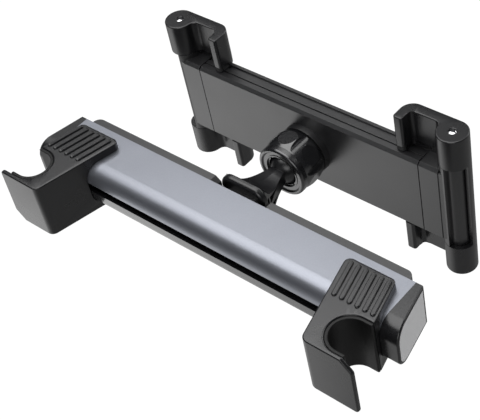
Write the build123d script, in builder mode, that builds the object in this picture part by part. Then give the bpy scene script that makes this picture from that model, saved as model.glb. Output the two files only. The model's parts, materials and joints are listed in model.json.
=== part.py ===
from build123d import *
from math import atan2, cos, degrees, radians, sin, tan
import os

# Headrest tablet mount, in millimetres. The origin is midway between the axes of the two headrest
# posts, at the bar's mid-height. X runs along the bar, +Y points to the tablet holder, +Z is up.

# Bar
bar_length = 200.0
bar_depth = 27.0
bar_height = 23.0
bar_front = 12.5
cover_wall = 1.6
cover_radius = 8.5
slot_height = 5.2
cover_fit = 0.1

# Rear housing
spine_wall = 3.0
ridge_depth = 4.5
ridge_height = 21.0
ridge_inset = 3.5
ridge_corner = 4.0
ridge_gap = 28.0
ridge_slope_width = 3.0
ridge_slope_height = 2.5
saddle_width = 6.0
saddle_height = 14.0
saddle_front = 5.0

# End caps and their inset plates
cap_rear_length = 3.8
cap_front_length = 9.8
cap_edge = 0.8
plug_length = 6.0
plate_rim = 1.3
end_plate_thickness = 1.2
cap_screw_head_height = 2.0

# Guide rod and hook springs
rod_radius = 2.5
rod_y = 26.0
rod_end = 2.0
rod_running = 0.05
rod_tap_depth = 9.0
rod_tap_spare = 1.0
hook_coil_radius = 3.9
hook_wire_radius = 0.55
hook_coil_turns = 9

# Hooks and liners
post_inset = 4.0
notch_radius = 10.2
liner_wall = 1.6
liner_recess = 0.4
liner_leg = 4.9
liner_round = 0.7
liner_edge = 0.5
hook_height = 31.6
hook_lean = 14.2
hook_width = 26.0
hook_inner = 15.4
hook_clearance = 0.3
pad_reach = 21.0
pad_corner = 3.0
panel_wall = 2.2
panel_reach = 10.2
panel_bevel = 5.5
panel_corner = 1.9
hook_corner = 4.0
hook_edge = 0.8
rib_count = 6
rib_pitch = 3.98
rib_length = 20.0
rib_width = 2.3
rib_height = 0.8
rib_edge = 0.4
rib_y = 22.1
rib_shift = 0.75
carriage_length = 16.0
carriage_height = 14.0
carriage_margin = 5.0
carriage_stop = 0.2
tongue_clearance = 0.3

# Arm and ball
ball_radius = 8.5
ball_y = 74.5
flange_width = 26.0
flange_height = 29.2
flange_front = 3.0
flange_thickness = 3.5
flange_corner = 6.5
flange_edge = 1.6
dish_margin = 2.4
dish_depth = 0.7
arm_seat_width = 20.0
arm_seat_height = 16.0
neck_margin = 1.4
neck_half_width = 3.4
neck_half_height = 3.8
neck_crest = 0.6
neck_spread = 1.15
neck_flare = 4.5
neck_stations = 6
neck_fade = 2.5
truss_inner = 4.2
truss_skin = 1.7
truss_web = 1.2
truss_pocket = 2.9
truss_length = 9.0
screw_radius = 1.5
screw_head_radius = 2.9
screw_head_height = 1.8
screw_fit = 0.1
arm_screw_x = 8.0
arm_screw_length = 9.0

# Ball joint
ring_wall = 0.6
ring_fit = 0.05
ring_start = 80.0
ring_sweep = 40.0
cup_front = 4.5
cup_back = 4.5
cup_outer_radius = 10.3
cup_slit = 1.2
cup_slit_length = 6.0
cup_slits = 4
nut_front = 5.9
nut_length = 16.7
nut_radius = 14.4
nut_ring_radius = 13.6
nut_ring_length = 4.0
nut_ring_round = 1.3
nut_bore_radius = 10.6
nut_lip_radius = 8.9
nut_lip_wall = 0.6
nut_lip_setback = 0.5
nut_web = 0.55
nut_mouth_radius = 11.4
nut_bevel = 0.4
nut_groove = 0.6
nut_grips = 6
nut_grip_turn = 7.0
nut_flat_distance = 13.6
nut_groove_radius = 3.2
nut_groove_depth = 1.2
thread_running = 0.1
boss_flange_radius = 13.4
boss_flange_length = 3.2
boss_recess_fit = 0.9
boss_screw_radius = 1.2
boss_screw_circle = 6.0
boss_screw_length = 3.5

# Tablet holder
holder_y = 96.5
plate_back = 7.45
plate_front = 4.8
plate_length = 131.4
plate_height = 43.8
plate_wall = 1.8
rail_wall = 2.3
seam_y = -2.5
seam_step = 0.7
seam_width = 0.8
plate_chamfer = 1.5
front_chamfer = 0.9
front_step = 1.0
front_step_width = 2.6
boss_post_radius = 2.6
cover_screw_end = 17.7
cover_screw_edge = 4.9
cover_screw_radius = 1.1
cover_head_radius = 2.1
anchor_x = 6.0
anchor_radius = 1.2
pad_length = 46.0
pad_margin = 7.9
pad_thickness = 1.0
pad_x = 35.0
pad_round = 3.0

# Sliding end arms
seam_gap = 0.5
slide_fit = 0.2
tongue_inner = 16.0
tongue_side_fit = 0.4
tongue_slot = 9.0
tongue_slot_end = 8.0
end_block = 10.1
end_strip_step = 0.35
knuckle_radius = 5.0
sleeve_rise = 2.5
wrap_start = 125.0
wrap_end = 262.0
arm_coil_radius = 2.8
arm_wire_radius = 0.45
arm_coil_turns = 8
coil_gap = 0.25

# Claws and hinge pins
claw_offset = 14.9
claw_radius = 7.4
lug_gap = 0.3
lug_height = 17.1
claw_wall = 5.5
claw_reach = 28.1
claw_tip = 12.4
claw_tip_width = 5.0
claw_corner = 6.5
claw_inner_corner = 4.0
claw_root_round = 3.5
claw_tip_round = 1.4
claw_edge = 0.6
shell_wall = 1.8
shell_start = -5.0
shell_end = 115.0
pin_radius = 1.5
pin_running = 0.08
pin_recess = 1.3
pin_recess_radius = 2.1

# Places worked out from the sizes above
half_height = bar_height / 2
half_length = bar_length / 2
ridge_length = bar_length - 2 * ridge_inset
post_x = half_length - post_inset
bar_rear = bar_front + bar_depth
spine_front = bar_rear - spine_wall
inner_half = half_height - cover_wall - cover_fit
rod_half = half_length - rod_end
hook_half = hook_height / 2
panel_y = -(notch_radius + panel_wall)
liner_radius = notch_radius - liner_wall
lean_tangent = tan(radians(hook_lean))
plate_y = holder_y - plate_back
front_y = holder_y + plate_front
split_y = holder_y + seam_y
plate_half = plate_height / 2
plate_end = plate_length / 2
cover_screw_x = plate_end - cover_screw_end
cover_screw_z = plate_half - cover_screw_edge
tongue_height = 2 * (cover_screw_z - boss_post_radius - tongue_side_fit)
pad_height = plate_height - 2 * pad_margin
claw_x = plate_end + claw_offset
ring_inner_radius = ball_radius + ring_fit
ring_outer_radius = ring_inner_radius + ring_wall
cup_inner_radius = ring_outer_radius + ring_fit
sleeve_half = plate_half + sleeve_rise
sleeve_height = 2 * sleeve_half
lug_low = sleeve_half + lug_gap
lug_high = lug_low + lug_height


def bar_section(inset, rear_inset=0.0):
    """Section of the bar in its own plane, inset from the outside; the rear edge is straight."""
    front = bar_front + inset
    rear = bar_rear - rear_inset
    with BuildSketch() as section:
        with Locations(((front + rear) / 2, 0)):
            Rectangle(rear - front, bar_height - 2 * inset)
        fillet(section.vertices().group_by(Axis.X)[0], cover_radius - inset)
    return section.sketch


def mirrored(part):
    """The same piece for the other end of the bar or holder, mirrored across X = 0."""
    with BuildPart() as other:
        mirror(part, about=Plane.YZ)
    return other.part


def turned(part):
    """The same piece turned over for the other end: half a turn about Y."""
    with BuildPart() as other:
        add(part.rotate(Axis.Y, 180))
    return other.part


def coil(start, end, centre_y, coil_radius, wire_radius, turns):
    """Coil spring along X between two places, at mid-height."""
    length = end - start - 2 * wire_radius
    with BuildPart() as spring:
        with BuildLine() as path:
            Helix(
                pitch=length / turns,
                height=length,
                radius=coil_radius,
                center=(start + wire_radius, centre_y, 0),
                direction=(1, 0, 0),
            )
        with BuildSketch(Plane(origin=path.line @ 0, z_dir=path.line % 0)):
            RegularPolygon(wire_radius, 6)
        sweep(path=path.line, is_frenet=True)
    return spring.part


# Top cover: flat top, rounded front, open at the rear and towards the slot
with BuildPart() as top_cover:
    with BuildSketch(Plane.YZ.offset(-half_length)):
        add(bar_section(0))
        add(bar_section(cover_wall, -cover_wall), mode=Mode.SUBTRACT)
        with Locations((bar_front - cover_wall, slot_height / 2)):
            Rectangle(
                bar_depth + 3 * cover_wall, bar_height, align=(Align.MIN, Align.MAX), mode=Mode.SUBTRACT
            )
    extrude(amount=bar_length)

with BuildPart() as bottom_cover:
    mirror(top_cover.part, about=Plane.XY)

# Rear housing: spine between the covers, ridge behind them, saddle for the rod
with BuildPart() as rear_housing:
    with Locations((0, bar_rear - spine_wall / 2, 0)):
        Box(bar_length - 2 * cover_fit, spine_wall, 2 * inner_half)
    with BuildSketch(Plane.XY.offset(-ridge_height / 2)) as ridge:
        with Locations((0, bar_rear)):
            Rectangle(ridge_length, ridge_depth, align=(Align.CENTER, Align.MIN))
        fillet(ridge.vertices().group_by(Axis.Y)[-1], ridge_corner)
    extrude(amount=ridge_height)
    with BuildSketch(Plane.XZ.offset(-bar_rear)):
        Rectangle(ridge_gap, bar_height)
        for side in (1, -1):
            with BuildLine():
                Polyline(
                    (-ridge_gap / 2 - ridge_slope_width, side * ridge_height / 2),
                    (ridge_gap / 2 + ridge_slope_width, side * ridge_height / 2),
                    (ridge_gap / 2, side * (ridge_height / 2 - ridge_slope_height)),
                    (-ridge_gap / 2, side * (ridge_height / 2 - ridge_slope_height)),
                    close=True,
                )
            make_face()
    extrude(amount=-ridge_depth, mode=Mode.SUBTRACT)
    with Locations((0, rod_y - saddle_front, 0)):
        Box(
            saddle_width,
            spine_front - rod_y + saddle_front,
            saddle_height,
            align=(Align.CENTER, Align.MIN, Align.CENTER),
        )
    with BuildSketch(Plane.YZ.offset(-saddle_width / 2)):
        with Locations((rod_y, 0)):
            Circle(rod_radius + rod_running)
    extrude(amount=saddle_width, mode=Mode.SUBTRACT)
    with BuildSketch(Plane.XZ.offset(-spine_front)):
        with Locations((arm_screw_x, 0), (-arm_screw_x, 0)):
            Circle(screw_radius + screw_fit)
    extrude(amount=-spine_wall, mode=Mode.SUBTRACT)

# End caps: the bar's section, cut off at a slant, with a plug that enters the covers
cap_slant = degrees(atan2(cap_front_length - cap_rear_length, bar_depth))
end_plane = Plane(
    origin=(half_length + cap_rear_length, bar_rear, 0),
    x_dir=(0, 0, 1),
    z_dir=(cos(radians(cap_slant)), sin(radians(cap_slant)), 0),
)
cap_screw_seat = half_length + cap_rear_length - cap_screw_head_height / 2


def end_slab(inset, depth):
    """Slab of the bar's section that lies just under the slanted end of the right cap."""
    with BuildPart() as slab:
        with BuildSketch(Plane.YZ.offset(half_length - cap_front_length)):
            add(bar_section(inset, inset))
        extrude(amount=3 * cap_front_length)
        split(bisect_by=end_plane, keep=Keep.BOTTOM)
        split(bisect_by=end_plane.offset(-depth), keep=Keep.TOP)
    return slab.part


with BuildPart() as right_end_cap:
    with BuildSketch(Plane.YZ.offset(half_length)):
        add(bar_section(0))
    extrude(amount=2 * cap_front_length)
    split(bisect_by=end_plane, keep=Keep.BOTTOM)
    fillet(right_end_cap.faces().filter_by(Plane(end_plane.origin, z_dir=end_plane.z_dir)).edges(), cap_edge)
    add(end_slab(plate_rim, end_plate_thickness), mode=Mode.SUBTRACT)
    with BuildSketch(Plane.YZ.offset(half_length)):
        add(bar_section(cover_wall + cover_fit, spine_wall + cover_fit))
    extrude(amount=-plug_length)
    with BuildSketch(Plane.YZ.offset(half_length - plug_length)):
        with Locations((rod_y, 0)):
            Circle(rod_radius + rod_running)
    extrude(amount=plug_length - rod_end + rod_running, mode=Mode.SUBTRACT)
    with BuildSketch(Plane.YZ.offset(rod_half)):
        with Locations((rod_y, 0)):
            Circle(screw_radius + screw_fit)
    extrude(amount=2 * cap_front_length, mode=Mode.SUBTRACT)
    with BuildSketch(Plane.YZ.offset(cap_screw_seat)):
        with Locations((rod_y, 0)):
            Circle(screw_head_radius + screw_fit)
    extrude(amount=2 * cap_front_length, mode=Mode.SUBTRACT)

with BuildPart() as right_end_plate:
    add(end_slab(plate_rim + cover_fit, end_plate_thickness))

with BuildPart() as right_cap_screw:
    with BuildSketch(Plane.YZ.offset(cap_screw_seat)):
        with Locations((rod_y, 0)):
            Circle(screw_head_radius)
    extrude(amount=cap_screw_head_height)
    with BuildSketch(Plane.YZ.offset(cap_screw_seat)):
        with Locations((rod_y, 0)):
            Circle(screw_radius)
    extrude(amount=-(cap_screw_seat - rod_half + rod_tap_depth - rod_tap_spare))

# Guide rod, tapped at both ends
with BuildPart() as guide_rod:
    with BuildSketch(Plane.YZ.offset(-rod_half)):
        with Locations((rod_y, 0)):
            Circle(rod_radius)
    extrude(amount=2 * rod_half)
    for end in (rod_half, -rod_half):
        with BuildSketch(Plane.YZ.offset(end)):
            with Locations((rod_y, 0)):
                Circle(screw_radius + screw_fit / 2)
        extrude(amount=-rod_tap_depth if end > 0 else rod_tap_depth, mode=Mode.SUBTRACT)


def inner_edge(y):
    """X of the right hook's inner edge, which leans outwards towards the front."""
    return post_x - hook_inner - (y - panel_y) * lean_tangent


def outer_edge(y):
    """X of the right hook's outer edge, parallel to the inner edge."""
    return inner_edge(y) + hook_width


# Right hook: one moulding with front block, two pads, notch, panel, tongue and carriage
pad_rear = bar_front + pad_reach
carriage_x = half_length - plug_length - carriage_stop - carriage_length / 2
with BuildSketch() as panel_view:
    with BuildLine():
        Polyline(
            (0, -hook_half),
            (post_x + panel_reach, -hook_half),
            (post_x + panel_reach, hook_half - panel_bevel),
            (post_x + panel_reach - panel_bevel, hook_half),
            (0, hook_half),
            close=True,
        )
    make_face()
    fillet(panel_view.vertices().sort_by(Axis.X)[-3:], panel_corner)
with BuildPart() as right_hook:
    with BuildSketch(Plane.XY.offset(-hook_half)) as plan:
        with BuildLine():
            Polyline(
                (inner_edge(panel_y), panel_y),
                (post_x + panel_reach, panel_y),
                (post_x + panel_reach, -notch_radius),
                (outer_edge(notch_radius), notch_radius),
                (outer_edge(pad_rear), pad_rear),
                (inner_edge(pad_rear), pad_rear),
                close=True,
            )
        make_face()
        fillet(plan.vertices().sort_by(Axis.Y)[-2:], pad_corner)
        fillet(plan.vertices().group_by(Axis.Y)[0].sort_by(Axis.X)[0], hook_corner)
        with Locations((post_x, 0)):
            Circle(notch_radius, mode=Mode.SUBTRACT)
            Rectangle(
                hook_width, 2 * notch_radius, align=(Align.MIN, Align.CENTER), mode=Mode.SUBTRACT
            )
    extrude(amount=hook_height)
    with BuildSketch(Plane.XZ.offset(notch_radius - panel_wall)):
        with Locations((post_x + panel_reach, 0)):
            Rectangle(4 * panel_bevel, 2 * hook_height)
        add(panel_view.sketch, mode=Mode.SUBTRACT)
    extrude(amount=4 * panel_wall, mode=Mode.SUBTRACT)
    rims = right_hook.faces().filter_by(Axis.Z).edges()
    panel_edges = right_hook.faces().filter_by(Axis.Y).sort_by(Axis.Y)[:2].edges()
    fillet(set(rims + panel_edges), hook_edge)
    with BuildSketch(Plane.YZ.offset(inner_edge(pad_rear) - hook_corner)):
        add(bar_section(-hook_clearance, -bar_depth))
    extrude(amount=2 * hook_width, mode=Mode.SUBTRACT)
    with Locations((carriage_x, bar_front - 2 * hook_clearance, 0)):
        Box(
            carriage_length,
            rod_y - bar_front,
            slot_height - 2 * tongue_clearance,
            align=(Align.CENTER, Align.MIN, Align.CENTER),
        )
    with Locations((carriage_x, rod_y, 0)):
        Box(carriage_length, 2 * carriage_margin, carriage_height)
    with BuildSketch(Plane.YZ.offset(carriage_x - carriage_length)):
        with Locations((rod_y, 0)):
            Circle(rod_radius + rod_running)
    extrude(amount=2 * carriage_length, mode=Mode.SUBTRACT)
    rib_centre = (inner_edge(rib_y) + outer_edge(rib_y)) / 2 + rib_shift
    with BuildSketch(Plane.XY.offset(hook_half), Plane.XY.offset(-hook_half - rib_height)):
        with Locations((rib_centre, rib_y)):
            with GridLocations(rib_pitch, 0, rib_count, 1):
                SlotOverall(rib_length, rib_width, rotation=90 + hook_lean)
    extrude(amount=rib_height)
    chamfer(right_hook.faces().group_by(Axis.Z)[-1].edges(), rib_edge)
    chamfer(right_hook.faces().group_by(Axis.Z)[0].edges(), rib_edge)

# Rubber liner of the notch, rounded where the post goes in
with BuildPart() as right_liner:
    with BuildSketch(Plane.XY.offset(-hook_half + liner_recess)):
        with BuildLine():
            Line((post_x + liner_leg, notch_radius), (post_x, notch_radius))
            CenterArc((post_x, 0), notch_radius, 90, 180)
            Line((post_x, -notch_radius), (post_x + liner_leg, -notch_radius))
            Line((post_x + liner_leg, -notch_radius), (post_x + liner_leg, -liner_radius))
            Line((post_x + liner_leg, -liner_radius), (post_x, -liner_radius))
            CenterArc((post_x, 0), liner_radius, 270, -180)
            Line((post_x, liner_radius), (post_x + liner_leg, liner_radius))
            Line((post_x + liner_leg, liner_radius), (post_x + liner_leg, notch_radius))
        make_face()
    extrude(amount=hook_height - 2 * liner_recess)
    fillet(right_liner.edges().filter_by(Axis.Z).group_by(Axis.X)[-1], liner_round)
    fillet(right_liner.faces().filter_by(Axis.Z).edges(), liner_edge)

carriage_inner = carriage_x - carriage_length / 2
with BuildPart() as right_hook_spring:
    add(
        coil(
            saddle_width / 2 + coil_gap,
            carriage_inner - coil_gap,
            rod_y,
            hook_coil_radius,
            hook_wire_radius,
            hook_coil_turns,
        )
    )

# Arm: seat and flange against the rear housing, fishtail neck with a crease, ball
flange_y = bar_rear + flange_front
neck_y = flange_y + flange_thickness
neck_end_y = ball_y - ball_radius + neck_fade


def neck_sizes(y):
    """Half-width and half-height of the neck, which spreads like a fishtail towards the flange."""
    away = 1 - (y - neck_y) / (neck_end_y - neck_y)
    root_width = flange_width / 2 - neck_margin
    root_height = flange_height / 2 - neck_margin
    half_width = neck_half_width + (root_width - neck_half_width) * away**neck_spread
    half_height_there = neck_half_height + (root_height - neck_half_height) * away**neck_flare
    return half_width, half_height_there


with BuildPart() as ball_arm:
    with BuildSketch(Plane.XZ.offset(-flange_y)):
        RectangleRounded(flange_width, flange_height, flange_corner)
    extrude(amount=-flange_thickness)
    fillet(ball_arm.faces().sort_by(Axis.Y)[0].edges(), flange_edge)
    fillet(ball_arm.faces().sort_by(Axis.Y)[-1].edges(), flange_edge / 2)
    with BuildSketch(Plane.XZ.offset(-flange_y)):
        RectangleRounded(
            flange_width - 2 * dish_margin, flange_height - 2 * dish_margin, flange_corner - dish_margin
        )
    extrude(amount=-dish_depth, mode=Mode.SUBTRACT)
    with BuildSketch(Plane.XZ.offset(-bar_rear)):
        RectangleRounded(arm_seat_width, arm_seat_height, flange_corner / 2)
    extrude(amount=-(flange_front + dish_depth))
    for number in range(neck_stations + 1):
        station_y = neck_y + (neck_end_y - neck_y) * number / neck_stations
        half_width, crest = neck_sizes(station_y)
        with BuildSketch(Plane.XZ.offset(-station_y)):
            with BuildLine():
                Polyline(
                    (0, crest),
                    (half_width, crest - neck_crest),
                    (half_width, neck_crest - crest),
                    (0, -crest),
                    (-half_width, neck_crest - crest),
                    (-half_width, crest - neck_crest),
                    close=True,
                )
            make_face()
    loft()
    for side in (1, -1):
        with BuildSketch(Plane.YZ.offset(side * truss_inner)):
            for level in (1, -1):
                near_y = neck_y + truss_web
                far_y = near_y + truss_pocket
                near_z = neck_sizes(far_y)[1] - truss_skin
                with BuildLine():
                    Polyline(
                        (near_y, level * near_z),
                        (far_y - truss_web, level * near_z),
                        (far_y - truss_web, level * truss_web / 2),
                        (near_y, level * truss_web / 2),
                        close=True,
                    )
                make_face()
                end_y = far_y + truss_length
                end_z = neck_sizes(end_y)[1] - truss_skin
                with BuildLine():
                    Polyline(
                        (far_y, level * (near_z - truss_web)),
                        (end_y, level * end_z),
                        (far_y, level * truss_web / 2),
                        close=True,
                    )
                make_face()
        extrude(amount=side * flange_width / 2, mode=Mode.SUBTRACT)
    with Locations((0, ball_y, 0)):
        Sphere(ball_radius)
    with BuildSketch(Plane.XZ.offset(-bar_rear)):
        with Locations((arm_screw_x, 0), (-arm_screw_x, 0)):
            Circle(screw_radius)
    extrude(amount=-(arm_screw_length - spine_wall), mode=Mode.SUBTRACT)

with BuildPart() as arm_screws:
    with BuildSketch(Plane.XZ.offset(-spine_front)):
        with Locations((arm_screw_x, 0), (-arm_screw_x, 0)):
            Circle(screw_head_radius)
    extrude(amount=screw_head_height)
    with BuildSketch(Plane.XZ.offset(-spine_front)):
        with Locations((arm_screw_x, 0), (-arm_screw_x, 0)):
            Circle(screw_radius - screw_fit / 2)
    extrude(amount=-(arm_screw_length - screw_fit))

# Friction ring between ball and cup: a band of a sphere
with BuildPart() as friction_ring:
    with BuildSketch():
        with BuildLine():
            outer = CenterArc((0, ball_y), ring_outer_radius, ring_start - 90, ring_sweep)
            inner = CenterArc((0, ball_y), ring_inner_radius, ring_start - 90, ring_sweep)
            Line(outer @ 0, inner @ 0)
            Line(outer @ 1, inner @ 1)
        make_face()
    revolve(axis=Axis.Y)

# Cup round the ball, slit into fingers that the nut presses together
with BuildPart() as ball_cup:
    with BuildSketch():
        with Locations((0, ball_y - cup_front)):
            Rectangle(cup_outer_radius, cup_front + cup_back, align=(Align.MIN, Align.MIN))
        with Locations((0, ball_y)):
            Circle(cup_inner_radius, mode=Mode.SUBTRACT)
    revolve(axis=Axis.Y)
    with BuildSketch(Plane.XZ.offset(-(ball_y - cup_front))):
        for number in range(cup_slits // 2):
            Rectangle(3 * cup_outer_radius, cup_slit, rotation=45 + number * 360 / cup_slits)
    extrude(amount=-cup_slit_length, mode=Mode.SUBTRACT)

# Threaded boss on the holder's back, hollowed for the ball
boss_front = ball_y + cup_back + ring_fit
with BuildPart() as socket_boss:
    with BuildSketch():
        with Locations((0, plate_y)):
            Rectangle(nut_bore_radius - thread_running, plate_y - boss_front, align=(Align.MIN, Align.MAX))
            Rectangle(boss_flange_radius, boss_flange_length, align=(Align.MIN, Align.MAX))
        with Locations((0, ball_y)):
            Circle(ball_radius + boss_recess_fit, mode=Mode.SUBTRACT)
    revolve(axis=Axis.Y)
    with BuildSketch(Plane.XZ.offset(-plate_y)):
        with PolarLocations(boss_screw_circle, 4, start_angle=45):
            Circle(boss_screw_radius)
    extrude(amount=boss_screw_length, mode=Mode.SUBTRACT)

# Collar nut: rounded ring with a lipped mouth in front, barrel with flats and grooves behind
nut_y = ball_y - nut_front
nut_end = nut_y + nut_length
barrel_y = nut_y + nut_ring_length
cup_face = ball_y - cup_front - ring_fit
with BuildPart() as collar_nut:
    with BuildSketch():
        with BuildLine():
            Polyline(
                (nut_bore_radius, nut_end),
                (nut_bore_radius, cup_face),
                (nut_lip_radius, cup_face),
                (nut_lip_radius, nut_y + nut_lip_setback),
                (nut_lip_radius + nut_lip_wall, nut_y + nut_lip_setback),
                (nut_lip_radius + nut_lip_wall, cup_face - nut_web),
                (nut_mouth_radius - nut_bevel, cup_face - nut_web),
                (nut_mouth_radius, nut_y + nut_bevel),
                (nut_mouth_radius + nut_bevel, nut_y),
                (nut_ring_radius - nut_ring_round, nut_y),
            )
            RadiusArc(
                (nut_ring_radius - nut_ring_round, nut_y),
                (nut_ring_radius, nut_y + nut_ring_round),
                -nut_ring_round,
            )
            Polyline(
                (nut_ring_radius, nut_y + nut_ring_round),
                (nut_ring_radius, barrel_y - nut_groove),
                (nut_ring_radius - nut_groove, barrel_y),
            )
            ThreePointArc(
                (nut_ring_radius - nut_groove, barrel_y),
                (nut_radius, (barrel_y + nut_end) / 2),
                (nut_ring_radius - nut_groove, nut_end),
            )
            Line((nut_ring_radius - nut_groove, nut_end), (nut_bore_radius, nut_end))
        make_face()
    revolve(axis=Axis.Y)
    with BuildSketch(Plane.XZ.offset(-barrel_y)):
        Circle(2 * nut_radius)
        RegularPolygon(
            nut_flat_distance, nut_grips, major_radius=False, rotation=nut_grip_turn, mode=Mode.SUBTRACT
        )
        with PolarLocations(
            nut_radius + nut_groove_radius - nut_groove_depth, nut_grips, start_angle=nut_grip_turn
        ):
            Circle(nut_groove_radius)
    extrude(amount=-nut_length, mode=Mode.SUBTRACT)

# Back cover of the holder: the face seen in use from behind, with stepped long edges
seat_y = plate_y + plate_wall
with BuildPart() as holder_back:
    with BuildSketch(Plane.YZ.offset(-plate_end)):
        with Locations((plate_y, 0)):
            Rectangle(split_y - plate_y, plate_height, align=(Align.MIN, Align.CENTER))
        with Locations((seat_y, 0)):
            Rectangle(
                split_y - seat_y,
                plate_height - 2 * rail_wall,
                align=(Align.MIN, Align.CENTER),
                mode=Mode.SUBTRACT,
            )
        for side in (1, -1):
            with Locations((split_y - seam_width, side * plate_half)):
                Rectangle(
                    seam_width,
                    seam_step,
                    align=(Align.MIN, Align.MAX if side > 0 else Align.MIN),
                    mode=Mode.SUBTRACT,
                )
    extrude(amount=plate_length)
    chamfer(holder_back.faces().sort_by(Axis.Y)[0].edges().filter_by(Axis.X), plate_chamfer)
    with BuildSketch(Plane.XZ.offset(-seat_y)):
        for x, z in ((1, 1), (1, -1), (-1, 1), (-1, -1)):
            with Locations((x * cover_screw_x, z * cover_screw_z)):
                Circle(boss_post_radius)
                Circle(cover_screw_radius, mode=Mode.SUBTRACT)
    extrude(amount=-(front_y - plate_wall - slide_fit - seat_y))
    with BuildSketch(Plane.XZ.offset(-plate_y)):
        with PolarLocations(boss_screw_circle, 4, start_angle=45):
            Circle(boss_screw_radius + screw_fit)
    extrude(amount=-plate_wall, mode=Mode.SUBTRACT)

with BuildPart() as boss_screws:
    with BuildSketch(Plane.XZ.offset(-seat_y)):
        with PolarLocations(boss_screw_circle, 4, start_angle=45):
            Circle(cover_head_radius)
    extrude(amount=-screw_head_height)
    with BuildSketch(Plane.XZ.offset(-seat_y)):
        with PolarLocations(boss_screw_circle, 4, start_angle=45):
            Circle(boss_screw_radius - screw_fit / 2)
    extrude(amount=plate_wall + boss_screw_length - screw_fit)

# Front cover of the holder, towards the tablet
with BuildPart() as holder_front:
    with BuildSketch(Plane.YZ.offset(-plate_end)):
        with Locations((front_y, 0)):
            Rectangle(front_y - split_y, plate_height, align=(Align.MAX, Align.CENTER))
        with Locations((front_y - plate_wall, 0)):
            Rectangle(
                front_y - split_y,
                plate_height - 2 * rail_wall,
                align=(Align.MAX, Align.CENTER),
                mode=Mode.SUBTRACT,
            )
        for side in (1, -1):
            with Locations(((split_y + front_y) / 2, side * plate_half)):
                Rectangle(
                    front_step_width,
                    front_step,
                    align=(Align.CENTER, Align.MAX if side > 0 else Align.MIN),
                    mode=Mode.SUBTRACT,
                )
    extrude(amount=plate_length)
    chamfer(holder_front.faces().sort_by(Axis.Y)[-1].edges().filter_by(Axis.X), front_chamfer)
    with BuildSketch(Plane.XZ.offset(-(front_y - plate_wall))):
        with Locations((anchor_x, 0), (-anchor_x, 0)):
            Circle(anchor_radius)
    extrude(amount=front_y - plate_wall - holder_y + anchor_radius)
    with BuildSketch(Plane.XZ.offset(-front_y)):
        for x, z in ((1, 1), (1, -1), (-1, 1), (-1, -1)):
            with Locations((x * cover_screw_x, z * cover_screw_z)):
                Circle(cover_screw_radius + screw_fit)
    extrude(amount=plate_wall, mode=Mode.SUBTRACT)

with BuildPart() as cover_screws:
    with BuildSketch(Plane.XZ.offset(-front_y)):
        for x, z in ((1, 1), (1, -1), (-1, 1), (-1, -1)):
            with Locations((x * cover_screw_x, z * cover_screw_z)):
                Circle(cover_head_radius)
    extrude(amount=-pad_thickness)
    with BuildSketch(Plane.XZ.offset(-front_y)):
        for x, z in ((1, 1), (1, -1), (-1, 1), (-1, -1)):
            with Locations((x * cover_screw_x, z * cover_screw_z)):
                Circle(cover_screw_radius - screw_fit / 2)
    extrude(amount=front_y - seat_y - screw_fit)

with BuildPart() as right_front_pad:
    with BuildSketch(Plane.XZ.offset(-front_y)):
        with Locations((pad_x, 0)):
            RectangleRounded(pad_length, pad_height, pad_round)
    extrude(amount=-pad_thickness)

# Right sliding arm: forked tongue between the covers, end block, hinge knuckle and its wrap
block_x = plate_end + seam_gap
fork_x = block_x - tongue_slot_end
with BuildPart() as right_slide_arm:
    with BuildSketch(Plane.YZ.offset(tongue_inner)):
        with Locations((seat_y + slide_fit, 0)):
            Rectangle(
                front_y - plate_wall - seat_y - 2 * slide_fit,
                tongue_height,
                align=(Align.MIN, Align.CENTER),
            )
    extrude(amount=block_x - tongue_inner)
    with BuildSketch(Plane.YZ.offset(tongue_inner)):
        with Locations((seat_y, 0)):
            Rectangle(front_y - seat_y, tongue_slot, align=(Align.MIN, Align.CENTER))
    extrude(amount=fork_x - tongue_inner, mode=Mode.SUBTRACT)
    with BuildSketch(Plane.YZ.offset(block_x)):
        with Locations((plate_y, 0)):
            Rectangle(front_y - plate_y, plate_height, align=(Align.MIN, Align.CENTER))
    extrude(amount=end_block)
    chamfer(
        right_slide_arm.edges().filter_by(Axis.X).group_by(Axis.Y)[0].filter_by(
            lambda edge: edge.center().X > block_x
        ),
        plate_chamfer,
    )
    strip_end = claw_x + claw_radius * cos(radians(wrap_end))
    with Locations((block_x + end_block, plate_y + end_strip_step, 0)):
        Box(
            strip_end - block_x - end_block,
            claw_radius / 2,
            plate_height - 2 * plate_chamfer,
            align=(Align.MIN, Align.MIN, Align.CENTER),
        )
    with BuildSketch(Plane.XY.offset(-sleeve_half)):
        with BuildLine():
            rim = CenterArc((claw_x, holder_y), claw_radius, wrap_start, wrap_end - wrap_start)
            Line(rim @ 1, (claw_x, holder_y))
            Line((claw_x, holder_y), rim @ 0)
        make_face()
        with Locations((claw_x, holder_y)):
            Circle(knuckle_radius)
            Circle(pin_radius + pin_running, mode=Mode.SUBTRACT)
    extrude(amount=sleeve_height)
    with BuildSketch(Plane.XY.offset(-plate_height)):
        with Locations((claw_x, holder_y)):
            Circle(pin_radius + pin_running)
    extrude(amount=2 * plate_height, mode=Mode.SUBTRACT)

with BuildPart() as right_arm_spring:
    add(
        coil(
            anchor_x + anchor_radius + coil_gap,
            fork_x - coil_gap,
            holder_y - plate_back + plate_wall + (plate_back + plate_front - 2 * plate_wall) / 2,
            arm_coil_radius,
            arm_wire_radius,
            arm_coil_turns,
        )
    )

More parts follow.
